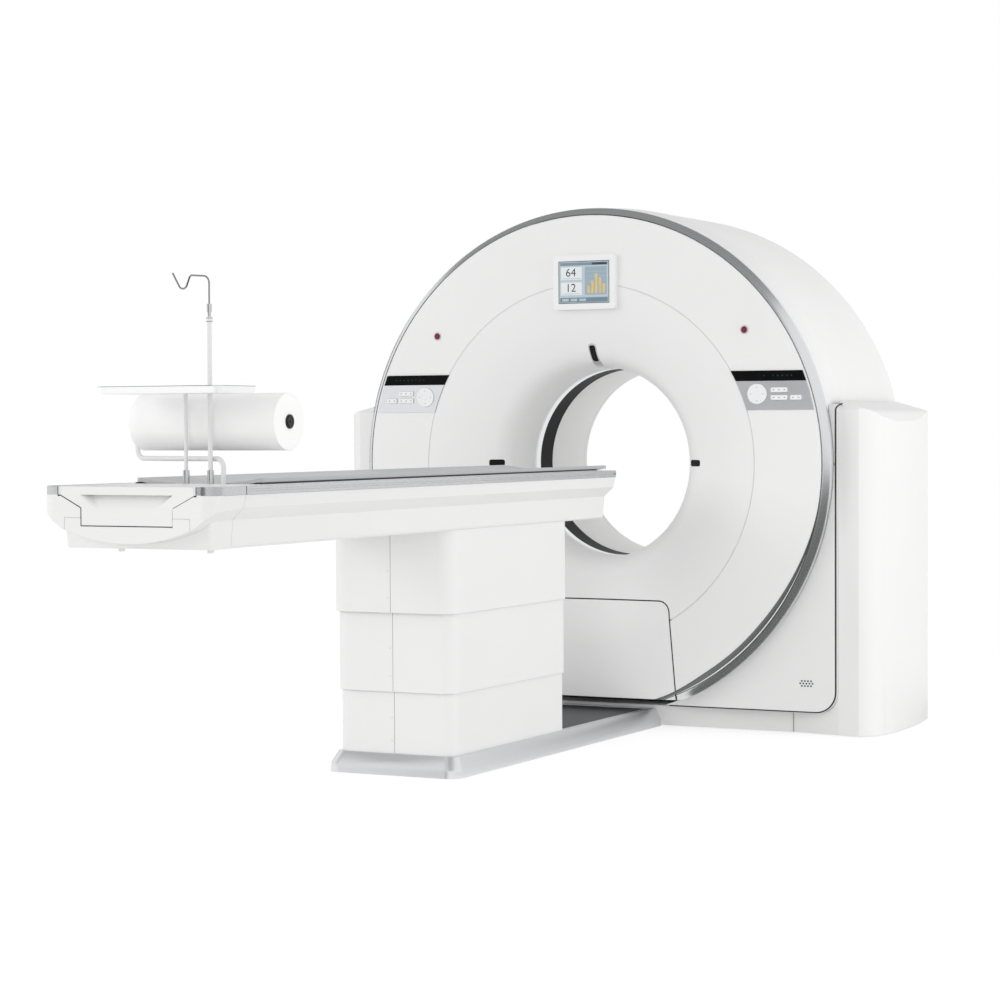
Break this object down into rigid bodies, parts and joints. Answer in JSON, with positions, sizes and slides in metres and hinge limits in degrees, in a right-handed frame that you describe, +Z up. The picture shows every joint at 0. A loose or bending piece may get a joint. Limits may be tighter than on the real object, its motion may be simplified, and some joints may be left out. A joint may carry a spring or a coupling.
{
  "type": "ct scanner",
  "caption": "Whole-body CT scanner: ring gantry with a flared patient bore, and a lifting table with a sliding cradle, writing tray, drip pole and paper roll.",
  "frame": {"origin": "on the floor straight below the bore's axis, in the scan plane", "axes": "+Y along the bore from the table's side to the rear, +X to the right seen from the table, +Z up"},
  "size_m": [2.1652, 3.734, 1.896],
  "materials": {
    "cover_white": "satin gloss",
    "ring_silver": "satin silver",
    "frame_paint": "powder coat",
    "steel": "machined",
    "belt_rubber": "matte",
    "window_grey": "matte film",
    "strip_black": "dark",
    "bezel_grey": "satin",
    "screen_glass": "lit display",
    "panel_grey": "satin silver grey",
    "key_white": "satin",
    "stop_red": "gloss",
    "base_silver": "satin silver",
    "detector_grey": "anodised",
    "rail_aluminium": "anodised",
    "cradle_grey": "satin",
    "tube_white": "gloss enamel",
    "tray_silver": "satin",
    "bright_chrome": "bright",
    "hub_black": "matte",
    "paper_white": "soft paper"
  },
  "bodies": {
    "stand": {"gantry_frame": "frame_paint", "plinth_cover": "cover_white", "main_bearing": "steel", "drive_motor": "frame_paint", "drive_belt": "belt_rubber", "front_cover": "cover_white", "bore_funnel": "cover_white", "service_door": "cover_white", "trim_ring": "ring_silver", "gantry_shell": "cover_white", "rear_cover": "cover_white", "corner_panel_left": "cover_white", "corner_panel_right": "cover_white", "tower_left": "cover_white", "tower_right": "cover_white", "bore_trim_ring": "ring_silver", "scan_window": "window_grey", "rear_liner": "cover_white", "laser_windows": "strip_black", "screen_bezel": "bezel_grey", "screen": "screen_glass", "control_panel_left": "panel_grey", "control_panel_right": "panel_grey", "panel_displays": "strip_black", "table_base": "base_silver", "cover_lower": "cover_white", "lift_column": "steel"},
    "rotor": {"rotor_drum": "frame_paint", "xray_tube": "steel", "detector": "detector_grey"},
    "pulley": {"drive_pulley": "steel"},
    "middle_stage": {"cover_middle": "cover_white", "lift_stage": "steel"},
    "table": {"lift_carriage": "frame_paint", "cover_upper": "cover_white", "table_shell": "cover_white", "foot_cap": "cover_white", "foot_panel": "cover_white", "side_rails": "rail_aluminium", "glide_strips": "strip_black", "post_sleeves": "bright_chrome", "tray_post": "tube_white", "tray": "tray_silver", "iv_pole": "tube_white", "roll_holder": "tube_white", "roll_hub": "hub_black"},
    "cradle": {"cradle": "cradle_grey"},
    "roll": {"paper_roll": "paper_white"},
    "pole_rod": {"iv_rod": "tube_white"},
    "hook": {"iv_hook": "bright_chrome"},
    "d_pad_left": {"d_pad_left": "key_white"},
    "d_pad_right": {"d_pad_right": "key_white"},
    "key_upper_left": {"key_upper_left": "key_white"},
    "key_upper_right": {"key_upper_right": "key_white"},
    "key_lower_left": {"key_lower_left": "key_white"},
    "key_lower_right": {"key_lower_right": "key_white"},
    "key_outer_left": {"key_outer_left": "key_white"},
    "key_outer_right": {"key_outer_right": "key_white"},
    "stop_button_left": {"stop_button_left": "stop_red"},
    "stop_button_right": {"stop_button_right": "stop_red"}
  },
  "joints": [
    {"name": "table_lift", "type": "slide", "parent": "stand", "child": "table", "axis": [0, 0, 1], "range_m": [-0.42, 0]},
    {"name": "middle_stage_lift", "type": "slide", "parent": "stand", "child": "middle_stage", "axis": [0, 0, 1], "range_m": [-0.19, 0]},
    {"name": "cradle_slide", "type": "slide", "parent": "table", "child": "cradle", "axis": [0, 1, 0], "range_m": [0, 1.7]},
    {"name": "rotor_spin", "type": "hinge", "parent": "stand", "child": "rotor", "pos_m": [0, 0, 0.96], "axis": [0, 1, 0], "continuous": true},
    {"name": "pulley_spin", "type": "hinge", "parent": "stand", "child": "pulley", "pos_m": [0.536, 0.16, 0.424], "axis": [0, 1, 0], "continuous": true},
    {"name": "roll_spin", "type": "hinge", "parent": "table", "child": "roll", "pos_m": [0, -2.822, 1.112], "axis": [1, 0, 0], "continuous": true},
    {"name": "pole_height", "type": "slide", "parent": "table", "child": "pole_rod", "axis": [0, 0, 1], "range_m": [-0.012, 0.35]},
    {"name": "hook_swivel", "type": "hinge", "parent": "pole_rod", "child": "hook", "pos_m": [0.049, -2.925, 1.43], "axis": [0, 0, 1], "continuous": true},
    {"name": "d_pad_left_press", "type": "slide", "parent": "stand", "child": "d_pad_left", "axis": [0, 1, 0], "range_m": [0, 0.0025], "stiffness_N_per_m": 500, "springref_m": -0.001},
    {"name": "d_pad_right_press", "type": "slide", "parent": "stand", "child": "d_pad_right", "axis": [0, 1, 0], "range_m": [0, 0.0025], "stiffness_N_per_m": 500, "springref_m": -0.001},
    {"name": "key_upper_left_press", "type": "slide", "parent": "stand", "child": "key_upper_left", "axis": [0, 1, 0], "range_m": [0, 0.0025], "stiffness_N_per_m": 500, "springref_m": -0.001},
    {"name": "key_upper_right_press", "type": "slide", "parent": "stand", "child": "key_upper_right", "axis": [0, 1, 0], "range_m": [0, 0.0025], "stiffness_N_per_m": 500, "springref_m": -0.001},
    {"name": "key_lower_left_press", "type": "slide", "parent": "stand", "child": "key_lower_left", "axis": [0, 1, 0], "range_m": [0, 0.0025], "stiffness_N_per_m": 500, "springref_m": -0.001},
    {"name": "key_lower_right_press", "type": "slide", "parent": "stand", "child": "key_lower_right", "axis": [0, 1, 0], "range_m": [0, 0.0025], "stiffness_N_per_m": 500, "springref_m": -0.001},
    {"name": "key_outer_left_press", "type": "slide", "parent": "stand", "child": "key_outer_left", "axis": [0, 1, 0], "range_m": [0, 0.0025], "stiffness_N_per_m": 500, "springref_m": -0.001},
    {"name": "key_outer_right_press", "type": "slide", "parent": "stand", "child": "key_outer_right", "axis": [0, 1, 0], "range_m": [0, 0.0025], "stiffness_N_per_m": 500, "springref_m": -0.001},
    {"name": "stop_button_left_press", "type": "slide", "parent": "stand", "child": "stop_button_left", "axis": [0, 1, 0], "range_m": [0, 0.004], "stiffness_N_per_m": 900, "springref_m": -0.001},
    {"name": "stop_button_right_press", "type": "slide", "parent": "stand", "child": "stop_button_right", "axis": [0, 1, 0], "range_m": [0, 0.004], "stiffness_N_per_m": 900, "springref_m": -0.001}
  ],
  "couplings": [
    {"joint": "middle_stage_lift", "follows": "table_lift", "ratio": 0.45},
    {"joint": "pulley_spin", "follows": "rotor_spin", "ratio": 8.1491}
  ]
}
